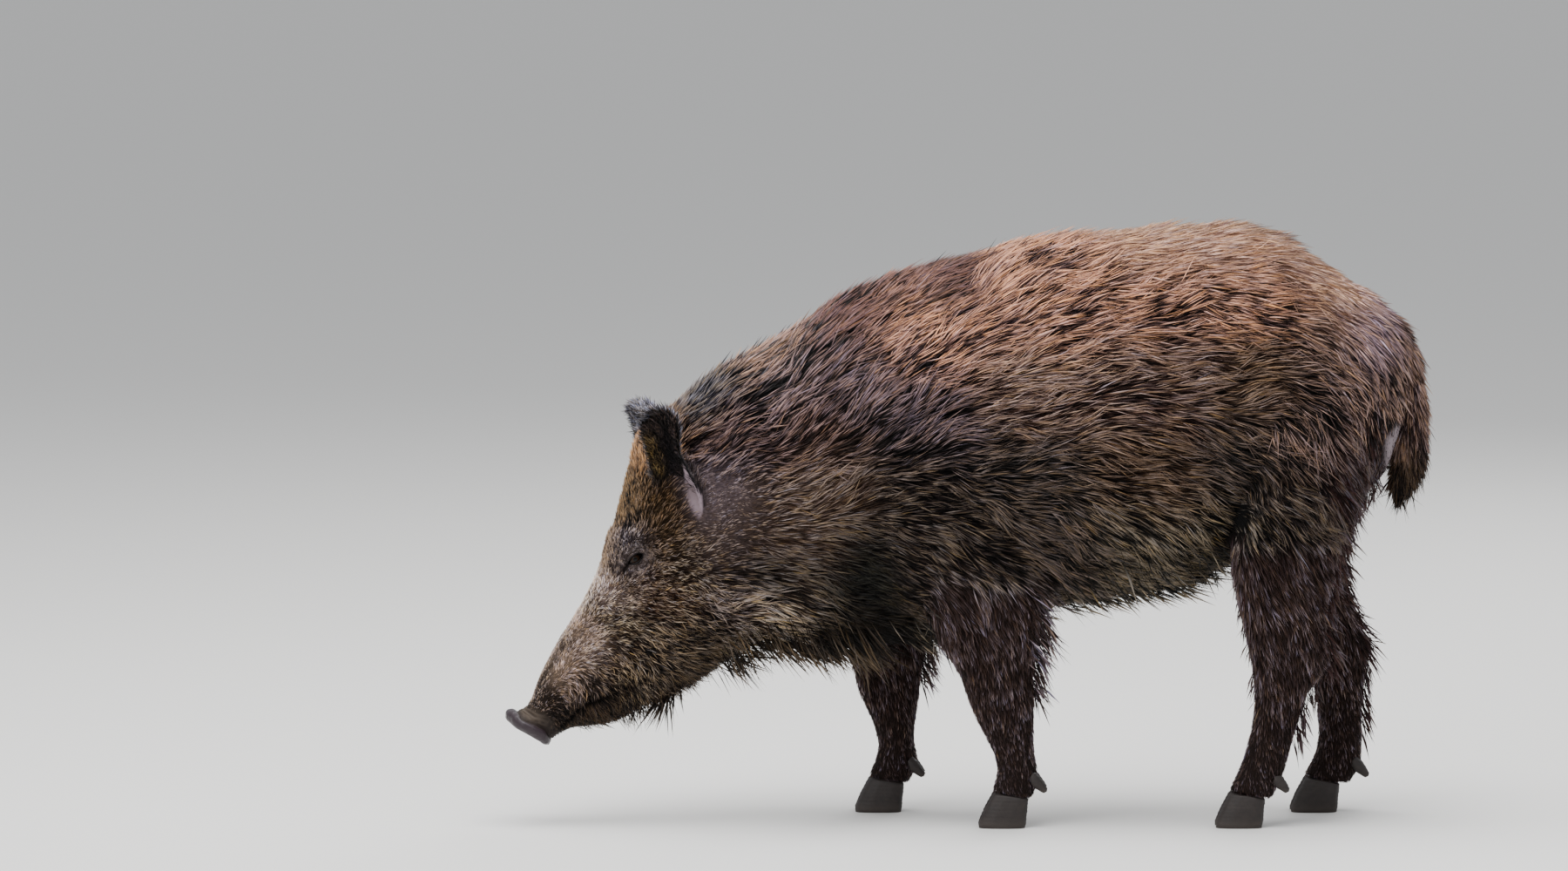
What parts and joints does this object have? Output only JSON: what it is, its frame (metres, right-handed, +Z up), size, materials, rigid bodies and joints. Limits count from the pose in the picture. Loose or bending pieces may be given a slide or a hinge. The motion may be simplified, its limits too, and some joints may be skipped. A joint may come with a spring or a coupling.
{
  "type": "wild boar",
  "caption": "Life-size wild boar standing in mid-stride with its head lowered to sniff the ground, a still model that rests on its hooves.",
  "frame": {"origin": "on the ground, in the middle of the footprint of the whole animal", "axes": "-X the way the boar faces, +Y to its right, +Z up"},
  "size_m": [1.1818, 0.3284, 0.769],
  "materials": {
    "coat": "skin under a coarse brown coat of bristles and underwool",
    "face": "skin under short grey-brown hair",
    "ear": "thin skin, dark hair on the back and the rims",
    "leg": "skin under short blackish hair",
    "snout": "bare moist skin, wrinkled",
    "eye": "wet and glossy, dark brown",
    "hoof": "worn dark horn"
  },
  "bodies": {
    "root": {"trunk": "coat", "neck": "coat", "tail": "coat", "head": "face", "lower_jaw": "face", "ear_left": "ear", "ear_right": "ear", "eye_left": "eye", "eye_right": "eye", "snout_disc": "snout", "fore_left_forearm": "leg", "fore_left_cannon": "leg", "fore_left_foot": "leg", "fore_left_hoof_inner": "hoof", "fore_left_dewclaw_inner": "hoof", "fore_left_hoof_outer": "hoof", "fore_left_dewclaw_outer": "hoof", "fore_right_forearm": "leg", "fore_right_cannon": "leg", "fore_right_foot": "leg", "fore_right_hoof_inner": "hoof", "fore_right_dewclaw_inner": "hoof", "fore_right_hoof_outer": "hoof", "fore_right_dewclaw_outer": "hoof", "hind_left_thigh": "leg", "hind_left_cannon": "leg", "hind_left_foot": "leg", "hind_left_hoof_inner": "hoof", "hind_left_dewclaw_inner": "hoof", "hind_left_hoof_outer": "hoof", "hind_left_dewclaw_outer": "hoof", "hind_right_thigh": "leg", "hind_right_cannon": "leg", "hind_right_foot": "leg", "hind_right_hoof_inner": "hoof", "hind_right_dewclaw_inner": "hoof", "hind_right_hoof_outer": "hoof", "hind_right_dewclaw_outer": "hoof"}
  },
  "joints": []
}
